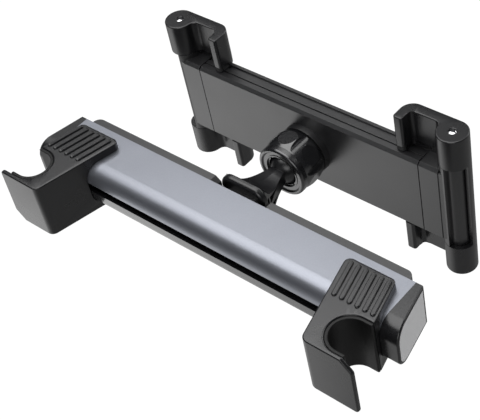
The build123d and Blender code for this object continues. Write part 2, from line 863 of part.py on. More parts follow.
# Right claw: upper and lower lug, joined by the shell on the far side of the hinge
with BuildPart() as right_claw:
    with BuildSketch(Plane.XY.offset(lug_low)) as lug:
        with Locations((claw_x, holder_y + claw_radius)):
            Rectangle(claw_reach, claw_wall, align=(Align.MAX, Align.MAX))
        with Locations((claw_x - claw_reach, holder_y + claw_radius)):
            Rectangle(claw_tip_width, claw_tip, align=(Align.MIN, Align.MAX))
        corner = lug.vertices().group_by(Axis.Y)[-1].sort_by(Axis.X)[0]
        fillet(corner, claw_corner)
        inner_line = claw_x - claw_reach + claw_tip_width
        inner_corner = lug.vertices().sort_by_distance((inner_line, holder_y + claw_radius - claw_wall))[0]
        fillet(inner_corner, claw_inner_corner)
        fillet(lug.vertices().group_by(Axis.Y)[0], claw_tip_round)
        with Locations((claw_x, holder_y)):
            Circle(claw_radius)
        root = lug.vertices().sort_by_distance((claw_x - claw_radius, holder_y + claw_radius - claw_wall))[0]
        fillet(root, claw_root_round)
    extrude(amount=lug_height)
    fillet(right_claw.faces().sort_by(Axis.Z)[-1].edges(), claw_edge)
    mirror(about=Plane.XY)
    with BuildSketch(Plane.XY.offset(-lug_low)):
        with BuildLine():
            outside = CenterArc((claw_x, holder_y), claw_radius, shell_start, shell_end - shell_start)
            hollow = CenterArc(
                (claw_x, holder_y), claw_radius - shell_wall, shell_start, shell_end - shell_start
            )
            Line(outside @ 0, hollow @ 0)
            Line(outside @ 1, hollow @ 1)
        make_face()
    extrude(amount=2 * lug_low)
    with BuildSketch(Plane.XY.offset(-lug_high)):
        with Locations((claw_x, holder_y)):
            Circle(pin_radius)
    extrude(amount=2 * lug_high, mode=Mode.SUBTRACT)
    with BuildSketch(Plane.XY.offset(lug_high), Plane.XY.offset(-lug_high + pin_recess)):
        with Locations((claw_x, holder_y)):
            Circle(pin_recess_radius)
    extrude(amount=-pin_recess, mode=Mode.SUBTRACT)

with BuildPart() as right_hinge_pin:
    with BuildSketch(Plane.XY.offset(-lug_high + pin_recess)):
        with Locations((claw_x, holder_y)):
            Circle(pin_radius)
    extrude(amount=2 * (lug_high - pin_recess))
    fillet(right_hinge_pin.edges().filter_by(GeomType.CIRCLE), pin_radius / 2)

pieces = {
    "top_cover": top_cover.part,
    "bottom_cover": bottom_cover.part,
    "rear_housing": rear_housing.part,
    "right_end_cap": right_end_cap.part,
    "left_end_cap": mirrored(right_end_cap.part),
    "right_end_plate": right_end_plate.part,
    "left_end_plate": mirrored(right_end_plate.part),
    "right_cap_screw": right_cap_screw.part,
    "left_cap_screw": mirrored(right_cap_screw.part),
    "guide_rod": guide_rod.part,
    "right_hook_spring": right_hook_spring.part,
    "left_hook_spring": mirrored(right_hook_spring.part),
    "right_hook": right_hook.part,
    "left_hook": turned(right_hook.part),
    "right_liner": right_liner.part,
    "left_liner": turned(right_liner.part),
    "ball_arm": ball_arm.part,
    "arm_screws": arm_screws.part,
    "friction_ring": friction_ring.part,
    "ball_cup": ball_cup.part,
    "socket_boss": socket_boss.part,
    "collar_nut": collar_nut.part,
    "holder_back": holder_back.part,
    "boss_screws": boss_screws.part,
    "holder_front": holder_front.part,
    "cover_screws": cover_screws.part,
    "right_front_pad": right_front_pad.part,
    "left_front_pad": mirrored(right_front_pad.part),
    "right_slide_arm": right_slide_arm.part,
    "left_slide_arm": mirrored(right_slide_arm.part),
    "right_arm_spring": right_arm_spring.part,
    "left_arm_spring": mirrored(right_arm_spring.part),
    "right_claw": right_claw.part,
    "left_claw": mirrored(right_claw.part),
    "right_hinge_pin": right_hinge_pin.part,
    "left_hinge_pin": mirrored(right_hinge_pin.part),
}

os.makedirs("parts", exist_ok=True)
for name, part in pieces.items():
    part.label = name
    export_step(part, f"parts/{name}.step")
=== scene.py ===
"""Looks of the headrest tablet mount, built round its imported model. Lengths are in metres."""

import json
import logging
import math
from dataclasses import dataclass, field
from enum import Enum

import bmesh
import bpy
import numpy as np
from mathutils import Matrix, Vector


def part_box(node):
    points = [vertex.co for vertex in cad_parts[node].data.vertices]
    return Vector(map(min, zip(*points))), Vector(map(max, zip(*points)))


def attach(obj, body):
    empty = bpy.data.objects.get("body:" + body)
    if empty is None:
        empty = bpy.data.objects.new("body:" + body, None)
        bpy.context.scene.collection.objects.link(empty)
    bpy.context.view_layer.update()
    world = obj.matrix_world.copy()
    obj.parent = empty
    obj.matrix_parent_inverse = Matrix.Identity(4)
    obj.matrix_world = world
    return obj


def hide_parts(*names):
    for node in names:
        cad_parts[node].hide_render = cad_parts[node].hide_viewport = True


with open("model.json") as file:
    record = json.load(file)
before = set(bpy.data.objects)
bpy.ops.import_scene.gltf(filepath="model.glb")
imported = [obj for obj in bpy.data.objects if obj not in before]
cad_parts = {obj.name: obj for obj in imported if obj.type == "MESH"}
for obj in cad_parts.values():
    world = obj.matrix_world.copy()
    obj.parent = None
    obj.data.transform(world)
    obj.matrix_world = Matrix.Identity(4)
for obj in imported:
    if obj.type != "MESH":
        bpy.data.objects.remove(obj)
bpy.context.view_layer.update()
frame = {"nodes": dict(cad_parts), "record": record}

logging.basicConfig(level=logging.INFO, format="%(name)s: %(message)s")
log = logging.getLogger("tablet_mount")

MM = 0.001
IMAGE_WIDTH = 480
IMAGE_HEIGHT = 420


class Grain(Enum):
    """How fine a surface's texture is, as the noise scale of its grain."""

    MOULDED = 1400.0
    PAINTED = 1500.0
    POLISHED = 300.0
    RUBBER = 900.0
    TURNED = 700.0


class Fit(Enum):
    """How a tool meets a piece: it is joined to it or cut out of it."""

    JOIN = "UNION"
    CUT = "DIFFERENCE"


class Side(Enum):
    """The two hands of the mount, as the sign of X."""

    RIGHT = 1
    LEFT = -1

    @property
    def word(self) -> str:
        """The hand as it stands in a node's name."""
        return self.name.lower()


@dataclass(frozen=True)
class Finish:
    """One surface finish: its colour, gloss and grain.

    Attributes:
        slot: material slot of the record that the finish stands for.
        colour: linear base colour.
        roughness: middle roughness.
        metallic: 1 for bare or metallic-painted surfaces.
        grain: which texture the surface has.
        bump: depth of the grain in metres.
        mottle: how far the colour varies, as a share of it.
        gloss_change: how far the roughness varies over the surface.
        coat: weight of a clear coat.
        coat_roughness: roughness of that coat.
        specular: strength of the plain reflection, 0.5 for common plastic.
        edge: radius in metres that worn and moulded edges are rounded to.
    """

    slot: str
    colour: tuple[float, float, float]
    roughness: float
    metallic: float = 0.0
    grain: Grain = Grain.MOULDED
    bump: float = 0.00002
    mottle: float = 0.10
    gloss_change: float = 0.08
    coat: float = 0.0
    coat_roughness: float = 0.1
    specular: float = 0.5
    edge: float = 0.00008


FINISHES: dict[str, Finish] = {
    finish.slot: finish
    for finish in (
        Finish(
            "silver_cover",
            (0.285, 0.297, 0.332),
            roughness=0.37,
            metallic=0.85,
            grain=Grain.PAINTED,
            bump=0.000010,
            mottle=0.14,
            gloss_change=0.05,
        ),
        Finish(
            "black_gloss",
            (0.006, 0.006, 0.007),
            roughness=0.20,
            grain=Grain.POLISHED,
            bump=0.000004,
            mottle=0.08,
            gloss_change=0.06,
            coat=0.45,
            coat_roughness=0.2,
            specular=1.0,
        ),
        Finish("dark_grey", (0.014, 0.014, 0.015), roughness=0.33, specular=0.9),
        Finish("black_satin", (0.010, 0.010, 0.011), roughness=0.28, specular=0.66),
        Finish(
            "grey_gloss",
            (0.72, 0.72, 0.725),
            roughness=0.16,
            grain=Grain.POLISHED,
            bump=0.000004,
            mottle=0.05,
            gloss_change=0.05,
            coat=0.5,
        ),
        Finish(
            "polished_black",
            (0.005, 0.005, 0.006),
            roughness=0.25,
            grain=Grain.POLISHED,
            bump=0.000003,
            mottle=0.08,
            gloss_change=0.05,
            coat=0.5,
            coat_roughness=0.25,
            specular=1.0,
        ),
        Finish(
            "steel", (0.56, 0.56, 0.57), roughness=0.28, metallic=1.0, grain=Grain.TURNED, bump=0.000006
        ),
        Finish(
            "rubber",
            (0.006, 0.006, 0.006),
            roughness=0.50,
            grain=Grain.RUBBER,
            bump=0.00003,
            specular=0.35,
        ),
        Finish("ring_nylon", (0.35, 0.35, 0.34), roughness=0.42),
        Finish(
            "chrome_pin",
            (0.80, 0.80, 0.81),
            roughness=0.10,
            metallic=1.0,
            grain=Grain.POLISHED,
            bump=0.000003,
            mottle=0.03,
            gloss_change=0.04,
        ),
    )
}


class ShaderGroups:
    """Builds the node groups that several finishes share, each of them once."""

    fine_detail = 4.0
    fine_roughness = 0.6
    slow_scale = 45.0
    slow_detail = 3.0
    noise_middle = 0.5

    def __init__(self) -> None:
        """Starts with no group built."""
        self._groups: dict[str, bpy.types.NodeTree] = {}

    def grain(self) -> bpy.types.NodeTree:
        """Fine grain with slow mottling.

        Height is fine noise centred on a half. Shade is slow and fine noise mixed, near 1, to
        multiply a colour by. Gloss is slow noise about 0, to add to a roughness.

        Returns:
            The node group, with inputs Scale, Mottle and Gloss Change.
        """
        if "grain" in self._groups:
            return self._groups["grain"]
        group = bpy.data.node_groups.new("fine_grain", "ShaderNodeTree")
        for name, default in (("Scale", 1000.0), ("Mottle", 0.1), ("Gloss Change", 0.05)):
            socket = group.interface.new_socket(name, in_out="INPUT", socket_type="NodeSocketFloat")
            socket.default_value = default
        for name in ("Height", "Shade", "Gloss"):
            group.interface.new_socket(name, in_out="OUTPUT", socket_type="NodeSocketFloat")
        nodes, links = group.nodes, group.links
        source = nodes.new("NodeGroupInput")
        sink = nodes.new("NodeGroupOutput")
        place = nodes.new("ShaderNodeTexCoord")
        fine = nodes.new("ShaderNodeTexNoise")
        fine.inputs["Detail"].default_value = self.fine_detail
        fine.inputs["Roughness"].default_value = self.fine_roughness
        slow = nodes.new("ShaderNodeTexNoise")
        slow.inputs["Scale"].default_value = self.slow_scale
        slow.inputs["Detail"].default_value = self.slow_detail
        links.new(place.outputs["Object"], fine.inputs["Vector"])
        links.new(place.outputs["Object"], slow.inputs["Vector"])
        links.new(source.outputs["Scale"], fine.inputs["Scale"])
        links.new(fine.outputs["Fac"], sink.inputs["Height"])

        def math_node(
            kind: str, first: bpy.types.NodeSocket, second: bpy.types.NodeSocket | float
        ) -> bpy.types.NodeSocket:
            """One arithmetic node.

            Args:
                kind: the node's operation.
                first: socket of the first value.
                second: socket or number of the second value.

            Returns:
                The result's socket.
            """
            node = nodes.new("ShaderNodeMath")
            node.operation = kind
            links.new(first, node.inputs[0])
            if isinstance(second, float):
                node.inputs[1].default_value = second
            else:
                links.new(second, node.inputs[1])
            return node.outputs[0]

        both = math_node("ADD", fine.outputs["Fac"], slow.outputs["Fac"])
        centred = math_node("SUBTRACT", both, 2 * self.noise_middle)
        shade = math_node("MULTIPLY", centred, source.outputs["Mottle"])
        links.new(math_node("ADD", shade, 1.0), sink.inputs["Shade"])
        gloss = math_node("SUBTRACT", slow.outputs["Fac"], self.noise_middle)
        links.new(math_node("MULTIPLY", gloss, source.outputs["Gloss Change"]), sink.inputs["Gloss"])
        self._groups["grain"] = group
        return group


class MaterialMaker:
    """Turns finishes into materials, one for each slot."""

    def __init__(self, groups: ShaderGroups) -> None:
        """Keeps the shared node groups.

        Args:
            groups: where the node groups come from.
        """
        self.groups = groups
        self._made: dict[str, bpy.types.Material] = {}

    def material(self, slot: str) -> bpy.types.Material:
        """The material of a slot, made on first use.

        Args:
            slot: which finish it has.

        Returns:
            The material.
        """
        if slot not in self._made:
            self._made[slot] = self._build(FINISHES[slot])
        return self._made[slot]

    def _build(self, finish: Finish) -> bpy.types.Material:
        """Builds one finish: grain group, colour, roughness and bump round a Principled BSDF.

        Args:
            finish: the finish to build.

        Returns:
            The finished material.
        """
        made = bpy.data.materials.new(finish.slot)
        made.use_nodes = True
        nodes, links = made.node_tree.nodes, made.node_tree.links
        shader = nodes["Principled BSDF"]
        shader.inputs["Metallic"].default_value = finish.metallic
        shader.inputs["Coat Weight"].default_value = finish.coat
        shader.inputs["Coat Roughness"].default_value = finish.coat_roughness
        shader.inputs["Specular IOR Level"].default_value = finish.specular
        grain = nodes.new("ShaderNodeGroup")
        grain.node_tree = self.groups.grain()
        grain.inputs["Scale"].default_value = finish.grain.value
        grain.inputs["Mottle"].default_value = finish.mottle
        grain.inputs["Gloss Change"].default_value = finish.gloss_change
        tint = nodes.new("ShaderNodeMix")
        tint.data_type = "RGBA"
        tint.blend_type = "MULTIPLY"
        tint.inputs["Factor"].default_value = 1.0
        tint.inputs["A"].default_value = (*finish.colour, 1.0)
        links.new(grain.outputs["Shade"], tint.inputs["B"])
        links.new(tint.outputs["Result"], shader.inputs["Base Color"])
        gloss = nodes.new("ShaderNodeMath")
        gloss.operation = "ADD"
        gloss.inputs[1].default_value = finish.roughness
        links.new(grain.outputs["Gloss"], gloss.inputs[0])
        links.new(gloss.outputs[0], shader.inputs["Roughness"])
        bump = nodes.new("ShaderNodeBump")
        bump.inputs["Strength"].default_value = 1.0
        bump.inputs["Distance"].default_value = finish.bump
        links.new(grain.outputs["Height"], bump.inputs["Height"])
        worn_edge = nodes.new("ShaderNodeBevel")
        worn_edge.inputs["Radius"].default_value = finish.edge
        links.new(worn_edge.outputs["Normal"], bump.inputs["Normal"])
        links.new(bump.outputs["Normal"], shader.inputs["Normal"])
        return made


@dataclass(frozen=True)
class Lamp:
    """One soft light, aimed at the mount.

    Attributes:
        name: the light's name.
        place: its centre.
        size: its level width and its other width.
        power: its power in watts.
    """

    name: str
    place: tuple[float, float, float]
    size: tuple[float, float]
    power: float


@dataclass
class Studio:
    """Floor, lights and camera.

    Attributes:
        camera_place: camera's place in the model's frame.
        camera_right, camera_down, camera_ahead: the picture's axes in the model's frame.
        focal_pixels: focal length in pixels of the 480 pixel wide picture.
        sensor_width_mm: width of the camera's sensor.
        near_clip: what is nearer than this to the camera isn't seen.
        floor_height: height of the floor, below the mount, which hangs free of it.
        floor_size: width of the floor.
        floor_colour, floor_roughness: the floor's paint, which takes the shadow.
        white_share: share of plain white in what the camera sees of the floor.
        white_strength: how bright that white is.
        floor_glow: how bright the floor is in reflections.
        patch_centre, patch_radius, patch_strength: brighter round patch that glossy faces see.
        aim: where the lights point.
        lamps: soft light from above and fills from the front and the back.
        sky_colour, sky_strength: the even world round the mount.
    """

    camera_place: tuple[float, float, float] = (0.33499, -0.23416, 0.42240)
    camera_right: tuple[float, float, float] = (0.74272, 0.64765, -0.17003)
    camera_down: tuple[float, float, float] = (0.37528, -0.61291, -0.69535)
    camera_ahead: tuple[float, float, float] = (-0.55456, 0.45264, -0.69827)
    focal_pixels: float = 1314.07
    sensor_width_mm: float = 36.0
    near_clip: float = 0.01
    floor_height: float = -0.32
    floor_size: float = 6.0
    floor_colour: tuple[float, float, float] = (0.86, 0.86, 0.86)
    floor_roughness: float = 0.9
    white_share: float = 0.93
    white_strength: float = 1.05
    floor_glow: float = 0.30
    patch_centre: tuple[float, float, float] = (-0.38, -0.22, -0.32)
    patch_radius: float = 0.42
    patch_strength: float = 1.5
    aim: tuple[float, float, float] = (0.0, 0.045, 0.0)
    lamps: tuple[Lamp, ...] = (
        Lamp("key_light", (-0.35, 0.02, 1.45), (1.9, 1.7), 30.0),
        Lamp("front_fill", (0.9, -1.6, 0.85), (1.4, 1.0), 9.0),
        Lamp("back_fill", (0.5, 1.8, 0.9), (1.8, 1.2), 16.0),
    )
    sky_colour: tuple[float, float, float] = (0.9, 0.93, 1.0)
    sky_strength: float = 0.06

    def camera(self) -> None:
        """Makes the camera from the picture's axes and its focal length."""
        data = bpy.data.cameras.new("photo_camera")
        data.sensor_fit = "HORIZONTAL"
        data.sensor_width = self.sensor_width_mm
        data.lens = self.sensor_width_mm * self.focal_pixels / IMAGE_WIDTH
        data.clip_start = self.near_clip
        made = bpy.data.objects.new("photo_camera", data)
        bpy.context.scene.collection.objects.link(made)
        right, down, ahead = (Vector(v) for v in (self.camera_right, self.camera_down, self.camera_ahead))
        turn = Matrix((right, -down, -ahead)).transposed().to_4x4()
        made.matrix_world = Matrix.Translation(self.camera_place) @ turn
        bpy.context.scene.camera = made

    def floor(self) -> None:
        """White floor that the camera sees as white and that still takes the mount's shadow."""
        half = self.floor_size / 2
        mesh = bpy.data.meshes.new("floor")
        corners = ((-half, -half), (half, -half), (half, half), (-half, half))
        mesh.from_pydata([(x, y, self.floor_height) for x, y in corners], [], [(0, 1, 2, 3)])
        floor = bpy.data.objects.new("floor", mesh)
        bpy.context.scene.collection.objects.link(floor)
        made = bpy.data.materials.new("floor_white")
        made.use_nodes = True
        nodes, links = made.node_tree.nodes, made.node_tree.links
        shader = nodes["Principled BSDF"]
        shader.inputs["Base Color"].default_value = (*self.floor_colour, 1.0)
        shader.inputs["Roughness"].default_value = self.floor_roughness
        glow = nodes.new("ShaderNodeEmission")
        white = nodes.new("ShaderNodeEmission")
        place = nodes.new("ShaderNodeTexCoord")
        patch = nodes.new("ShaderNodeMapping")
        patch.inputs["Location"].default_value = tuple(
            -centre / self.patch_radius for centre in self.patch_centre
        )
        patch.inputs["Scale"].default_value = (1 / self.patch_radius,) * 3
        fading = nodes.new("ShaderNodeTexGradient")
        fading.gradient_type = "SPHERICAL"
        links.new(place.outputs["Object"], patch.inputs["Vector"])
        links.new(patch.outputs["Vector"], fading.inputs["Vector"])
        bright = nodes.new("ShaderNodeMath")
        bright.operation = "MULTIPLY_ADD"
        bright.inputs[1].default_value = self.patch_strength
        bright.inputs[2].default_value = self.floor_glow
        links.new(fading.outputs["Fac"], bright.inputs[0])
        links.new(bright.outputs[0], glow.inputs["Strength"])
        white.inputs["Strength"].default_value = self.white_strength
        seen = nodes.new("ShaderNodeLightPath")
        in_reflections = nodes.new("ShaderNodeMixShader")
        links.new(seen.outputs["Is Glossy Ray"], in_reflections.inputs["Fac"])
        links.new(shader.outputs[0], in_reflections.inputs[1])
        links.new(glow.outputs[0], in_reflections.inputs[2])
        share = nodes.new("ShaderNodeMath")
        share.operation = "MULTIPLY"
        share.inputs[1].default_value = self.white_share
        links.new(seen.outputs["Is Camera Ray"], share.inputs[0])
        in_view = nodes.new("ShaderNodeMixShader")
        links.new(share.outputs[0], in_view.inputs["Fac"])
        links.new(in_reflections.outputs[0], in_view.inputs[1])
        links.new(white.outputs[0], in_view.inputs[2])
        links.new(in_view.outputs[0], nodes["Material Output"].inputs["Surface"])
        mesh.materials.append(made)

    def _lamp(self, lamp: Lamp) -> None:
        """Hangs one soft light and aims it at the mount.

        Args:
            lamp: which light.
        """
        data = bpy.data.lights.new(lamp.name, "AREA")
        data.shape = "RECTANGLE"
        data.size, data.size_y = lamp.size
        data.energy = lamp.power
        made = bpy.data.objects.new(lamp.name, data)
        bpy.context.scene.collection.objects.link(made)
        made.location = lamp.place
        made.rotation_euler = (Vector(lamp.place) - Vector(self.aim)).to_track_quat("Z", "Y").to_euler()

    def light(self) -> None:
        """The lamps, and an even world that looks white."""
        for lamp in self.lamps:
            self._lamp(lamp)
        world = bpy.data.worlds.new("studio")
        world.use_nodes = True
        nodes, links = world.node_tree.nodes, world.node_tree.links
        sky = nodes["Background"]
        sky.inputs["Color"].default_value = (*self.sky_colour, 1.0)
        sky.inputs["Strength"].default_value = self.sky_strength
        backdrop = nodes.new("ShaderNodeBackground")
        backdrop.inputs["Color"].default_value = (1.0, 1.0, 1.0, 1.0)
        seen = nodes.new("ShaderNodeLightPath")
        mix = nodes.new("ShaderNodeMixShader")
        links.new(seen.outputs["Is Camera Ray"], mix.inputs["Fac"])
        links.new(sky.outputs[0], mix.inputs[1])
        links.new(backdrop.outputs[0], mix.inputs[2])
        links.new(mix.outputs[0], nodes["World Output"].inputs["Surface"])
        bpy.context.scene.world = world

    def build(self) -> None:
        """Makes camera, floor and lights."""
        self.camera()
        self.floor()
        self.light()
        bpy.context.scene.view_settings.view_transform = "Standard"


class MeshShop:
    """Meshes that several pieces are made with. Outlines are in millimetres, meshes in metres."""

    merge_distance = 0.002

    @staticmethod
    def arc(
        centre: tuple[float, float], radius: float, start: float, end: float, steps: int = 12
    ) -> np.ndarray:
        """Points of an arc: centre plus radius times the cosine and sine of an even run of angles.

        Args:
            centre: the arc's centre.
            radius: its radius.
            start: first angle in degrees.
            end: last angle in degrees.
            steps: how many stretches it has.

        Returns:
            One row for each point.
        """
        turn = np.radians(np.linspace(start, end, steps + 1))
        return np.column_stack((centre[0] + radius * np.cos(turn), centre[1] + radius * np.sin(turn)))

    @staticmethod
    def shown(name: str, mesh: bpy.types.Mesh) -> bpy.types.Object:
        """An object for a mesh, linked to the scene at the origin.

        Args:
            name: name of the object.
            mesh: its mesh.

        Returns:
            The object.
        """
        made = bpy.data.objects.new(name, mesh)
        bpy.context.scene.collection.objects.link(made)
        return made

    @classmethod
    def prism(
        cls, name: str, outline: np.ndarray, low: float, high: float, upright: bool = True
    ) -> bpy.types.Object:
        """Closed prism: the outline at two heights, joined by walls and capped.

        Args:
            name: name of the object.
            outline: points in X and Y, in order, or in X and Z for a prism that runs along Y.
            low: lower height.
            high: upper height.
            upright: whether it runs along Z instead of Y.

        Returns:
            The prism, with its faces outwards.
        """
        count = len(outline)
        points = np.vstack([np.column_stack((outline, np.full(count, height))) for height in (low, high)])
        if not upright:
            points = points[:, (0, 2, 1)]
        first = np.arange(count)
        after = np.roll(first, -1)
        walls = np.column_stack((first, after, after + count, first + count)).tolist()
        mesh = bpy.data.meshes.new(name)
        mesh.from_pydata((points * MM).tolist(), [], [first.tolist(), (first + count).tolist(), *walls])
        cls.outwards(mesh)
        return cls.shown(name, mesh)

    @classmethod
    def outwards(cls, mesh: bpy.types.Mesh) -> None:
        """Merges a mesh's doubles and turns its faces outwards.

        Args:
            mesh: what is changed.
        """
        work = bmesh.new()
        work.from_mesh(mesh)
        bmesh.ops.remove_doubles(work, verts=work.verts, dist=cls.merge_distance * MM)
        bmesh.ops.recalc_face_normals(work, faces=work.faces)
        work.to_mesh(mesh)
        work.free()

    @classmethod
    def lathe(
        cls, name: str, profile: np.ndarray, centre: tuple[float, float], steps: int = 48
    ) -> bpy.types.Object:
        """Turned piece: each profile point's radius carried once round the upright axis.

        Args:
            name: name of the object.
            profile: rows of radius and height, from one pole to the other.
            centre: where the axis stands in X and Y.
            steps: how many stretches one turn has.

        Returns:
            The turned piece, closed at its poles by merging.
        """
        turn = np.linspace(0.0, 2 * math.pi, steps, endpoint=False)
        radius, height = profile[:, :1], profile[:, 1:]
        points = np.stack(
            (
                centre[0] + radius * np.cos(turn),
                centre[1] + radius * np.sin(turn),
                np.broadcast_to(height, (len(profile), steps)),
            ),
            axis=-1,
        ).reshape(-1, 3)
        row, column = np.meshgrid(np.arange(len(profile) - 1), np.arange(steps), indexing="ij")
        beside = (column + 1) % steps
        below, above = row * steps, (row + 1) * steps
        faces = np.stack((below + column, below + beside, above + beside, above + column), axis=-1)
        mesh = bpy.data.meshes.new(name)
        mesh.from_pydata((points * MM).tolist(), [], faces.reshape(-1, 4).tolist())
        cls.outwards(mesh)
        return cls.shown(name, mesh)

    @classmethod
    def merged_copy(cls, node: str, name: str) -> bpy.types.Object:
        """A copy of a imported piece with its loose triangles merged.

        Args:
            node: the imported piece.
            name: name of the copy.

        Returns:
            The copy, without materials.
        """
        mesh = frame["nodes"][node].data.copy()
        mesh.materials.clear()
        cls.outwards(mesh)
        return cls.shown(name, mesh)

    @staticmethod
    def combine(piece: bpy.types.Object, tool: bpy.types.Object, fit: Fit) -> None:
        """Joins a tool to a piece or cuts it out of it, then deletes the tool.

        Args:
            piece: what is kept.
            tool: what is joined or cut away.
            fit: whether the tool is joined or cut out.
        """
        step = piece.modifiers.new("combine", "BOOLEAN")
        step.operation = fit.value
        step.solver = "EXACT"
        step.object = tool
        finished = piece.evaluated_get(bpy.context.evaluated_depsgraph_get())
        result = bpy.data.meshes.new_from_object(finished)
        piece.modifiers.clear()
        piece.data = result
        bpy.data.objects.remove(tool)

    @staticmethod
    def smooth(piece: bpy.types.Object, sharp_degrees: float = 32.0) -> None:
        """Smooth shading that keeps edges sharper than an angle.

        Args:
            piece: what is shaded.
            sharp_degrees: the angle.
        """
        piece.data.shade_smooth()
        piece.data.set_sharp_from_angle(angle=math.radians(sharp_degrees))


@dataclass
class StandIn:
    """A piece that is made here in place of a packed one. Each kind names its finish as slot.

    Attributes:
        maker: where its finish comes from.
    """

    maker: MaterialMaker

    def build(self) -> bpy.types.Object:
        """Makes the piece's mesh; each kind of piece has its own way."""
        raise NotImplementedError

    @staticmethod
    def settle(piece: bpy.types.Object, node: str, body: str) -> bpy.types.Object:
        """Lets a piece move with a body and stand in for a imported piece.

        Args:
            piece: the piece.
            node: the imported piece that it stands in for.
            body: the body that it moves with.

        Returns:
            The piece.
        """
        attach(piece, body)
        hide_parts(node)
        return piece

    def dress(self, piece: bpy.types.Object, slot: str) -> None:
        """Gives a piece its finish and reports it.

        Args:
            piece: the piece.
            slot: its finish.
        """
        piece.data.materials.clear()
        piece.data.materials.append(self.maker.material(slot))
        log.info("%s: %d faces, finish %s", piece.name, len(piece.data.polygons), slot)

    def make(self) -> None:
        """Builds and dresses the piece."""
        self.dress(self.build(), self.slot)


@dataclass
class Claw(StandIn):
    """One swinging claw: its hooked arm is as deep as the gap over the holder lets it be.

    Attributes:
        side: which hand it is.
        slot: its finish.
        hinge_x, hinge_y: the hinge's axis.
        radius: the lugs' radius round the hinge.
        reach: from the hinge to the end of the arm.
        wall: thickness of the arm.
        tip: length of the turned-in tip, over all.
        tip_width: its width.
        corner, inner_corner, tip_round: radii of the outline.
        lug_low, lug_high: heights of a lug.
        plate_clear: height that clears the holder's edge.
        inset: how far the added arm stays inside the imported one.
        root_gap: space between the added arm and the lug.
        sharp_degrees: edges sharper than this stay crisp.
    """

    side: Side
    slot: str = "black_satin"
    hinge_x: float = 80.6
    hinge_y: float = 96.5
    radius: float = 7.4
    reach: float = 28.1
    wall: float = 5.5
    tip: float = 12.4
    tip_width: float = 5.0
    corner: float = 6.5
    inner_corner: float = 1.8
    tip_round: float = 1.4
    lug_low: float = 24.7
    lug_high: float = 41.8
    plate_clear: float = 22.2
    inset: float = 0.02
    root_gap: float = 0.3
    sharp_degrees: float = 12.0

    def arm_outline(self) -> np.ndarray:
        """Plan of the arm: straight runs joined by arcs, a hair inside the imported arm.

        Returns:
            Its points in X and Y, for the right hand.
        """
        outer = self.hinge_y + self.radius - self.inset
        inner = self.hinge_y + self.radius - self.wall + self.inset
        end = self.hinge_x - self.reach + self.inset
        tip_in = end + self.tip_width - 2 * self.inset
        foot = self.hinge_y + self.radius - self.tip + self.inset
        root = self.hinge_x - self.radius - self.root_gap
        arc = MeshShop.arc
        return np.vstack(
            (
                [(root, outer)],
                arc((end + self.corner, outer - self.corner), self.corner, 90, 180),
                arc((end + self.tip_round, foot + self.tip_round), self.tip_round, 180, 270),
                arc((tip_in - self.tip_round, foot + self.tip_round), self.tip_round, 270, 360),
                self.inner_arc(tip_in, inner),
                [(root, inner)],
            )
        )

    def inner_arc(self, tip_in: float, inner: float) -> np.ndarray:
        """Rounding between the inner faces of the tip and the arm.

        Args:
            tip_in: X of the tip's inner face.
            inner: Y of the arm's inner face.

        Returns:
            The arc's points.
        """
        centre = (tip_in + self.inner_corner, inner - self.inner_corner)
        return MeshShop.arc(centre, self.inner_corner, 180, 90)

    def corner_outline(self) -> np.ndarray:
        """Plan of what is cut away to make the inner corner tighter.

        Returns:
            Its points in X and Y, for the right hand.
        """
        inner = self.hinge_y + self.radius - self.wall - self.inset
        tip_in = self.hinge_x - self.reach + self.tip_width + self.inset
        far = 3 * self.inner_corner
        below = [(tip_in + far, inner - far), (tip_in, inner - far)]
        return np.vstack((below, self.inner_arc(tip_in, inner), [(tip_in + far, inner)]))

    def build(self) -> bpy.types.Object:
        """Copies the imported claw, deepens both arms and tightens their inner corners.

        Returns:
            The claw.
        """
        hand = np.array((self.side.value, 1.0))
        node = f"{self.side.word}_claw"
        piece = MeshShop.merged_copy(node, f"{node}_shell")
        for level in (1, -1):
            low, high = sorted((level * self.plate_clear, level * (self.lug_low + self.inset)))
            arm = MeshShop.prism("arm", self.arm_outline() * hand, low, high)
            MeshShop.combine(piece, arm, Fit.JOIN)
            low, high = sorted((level * (self.lug_low - self.wall), level * (self.lug_high + self.wall)))
            corner = MeshShop.prism("corner", self.corner_outline() * hand, low, high)
            MeshShop.combine(piece, corner, Fit.CUT)
        MeshShop.smooth(piece, self.sharp_degrees)
        return self.settle(piece, node, node)


@dataclass
class HingePin(StandIn):
    """Polished pin of one claw's hinge, with a low dome at each end.

    Attributes:
        side: which hand it is.
        slot: its finish.
        hinge_x, hinge_y: the hinge's axis.
        radius: the pin's radius in its bore.
        head_radius: radius of its ends, which fill the recesses.
        seat: height of the recesses' floors.
        rim: height up to which a head is straight.
        dome: rise of the dome.
        dome_steps: how many points the dome's profile has.
    """

    side: Side
    slot: str = "chrome_pin"
    hinge_x: float = 80.6
    hinge_y: float = 96.5
    radius: float = 1.5
    head_radius: float = 2.0
    seat: float = 40.52
    rim: float = 40.95
    dome: float = 0.6
    dome_steps: int = 9

    def build(self) -> bpy.types.Object:
        """Turns the pin: straight bore part, a short head and an elliptic dome at each end.

        Returns:
            The pin.
        """
        turn = np.linspace(0.0, math.pi / 2, self.dome_steps)
        dome = np.column_stack((self.head_radius * np.cos(turn), self.rim + self.dome * np.sin(turn)))
        upper = np.vstack(([(self.radius, self.seat), (self.head_radius, self.seat)], dome))
        lower = (upper * np.array((1.0, -1.0)))[::-1]
        node = f"{self.side.word}_hinge_pin"
        axis = (self.side.value * self.hinge_x, self.hinge_y)
        piece = MeshShop.lathe(f"{node}_domed", np.vstack((lower, upper)), axis)
        MeshShop.smooth(piece)
        return self.settle(piece, node, f"{self.side.word}_claw")


